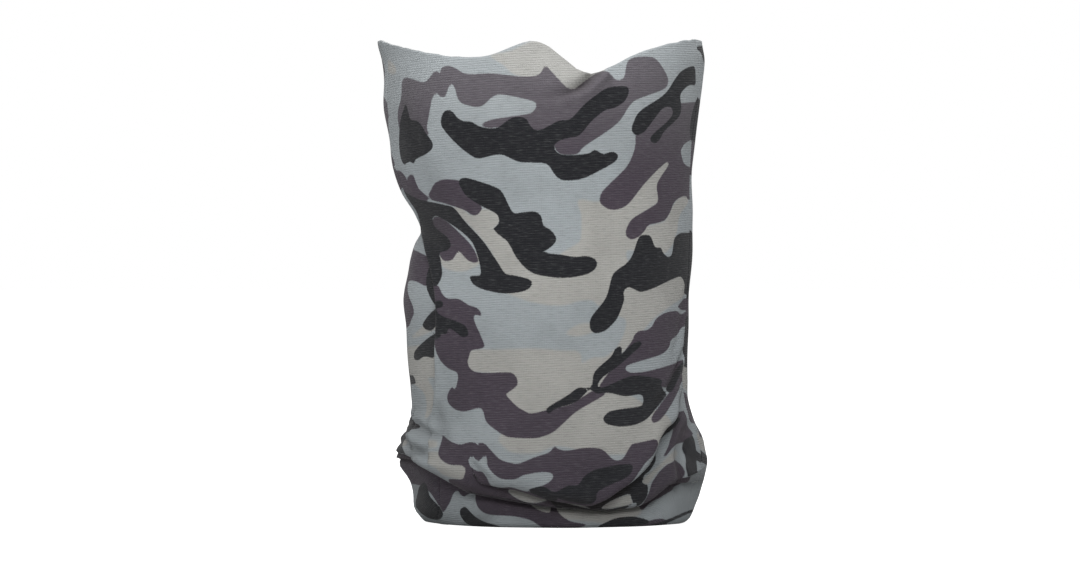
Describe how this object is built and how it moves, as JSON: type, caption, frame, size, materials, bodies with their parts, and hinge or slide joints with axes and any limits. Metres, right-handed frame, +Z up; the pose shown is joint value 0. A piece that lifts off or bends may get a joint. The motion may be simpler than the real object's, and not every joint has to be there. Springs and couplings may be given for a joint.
{
  "type": "neck gaiter",
  "caption": "Thin stretch-knit neck gaiter with an all-over camouflage print, standing as worn over the nose, with its lower end pushed down in soft folds.",
  "frame": {"origin": "on the resting plane under the lower folds, below the middle of the whole part's box", "axes": "+Z up along the tube, the wearer faces -Y, +X towards the wearer's left"},
  "size_m": [0.1565, 0.1766, 0.231],
  "materials": {
    "printed_knit": "fine polyester microfibre stretch jersey, printed outside in blue-grey, warm grey, purple-grey and near-black camouflage, pale unprinted inside",
    "seam_thread": "textured polyester overlock thread, matte light grey",
    "label_tape": "woven satin label tape, blank, soft white"
  },
  "bodies": {
    "root": {"front_panel": "printed_knit", "back_panel": "printed_knit", "care_label": "label_tape", "left_needle_thread": "seam_thread", "left_upper_looper_thread": "seam_thread", "left_lower_looper_thread": "seam_thread", "right_needle_thread": "seam_thread", "right_upper_looper_thread": "seam_thread", "right_lower_looper_thread": "seam_thread"}
  },
  "joints": []
}
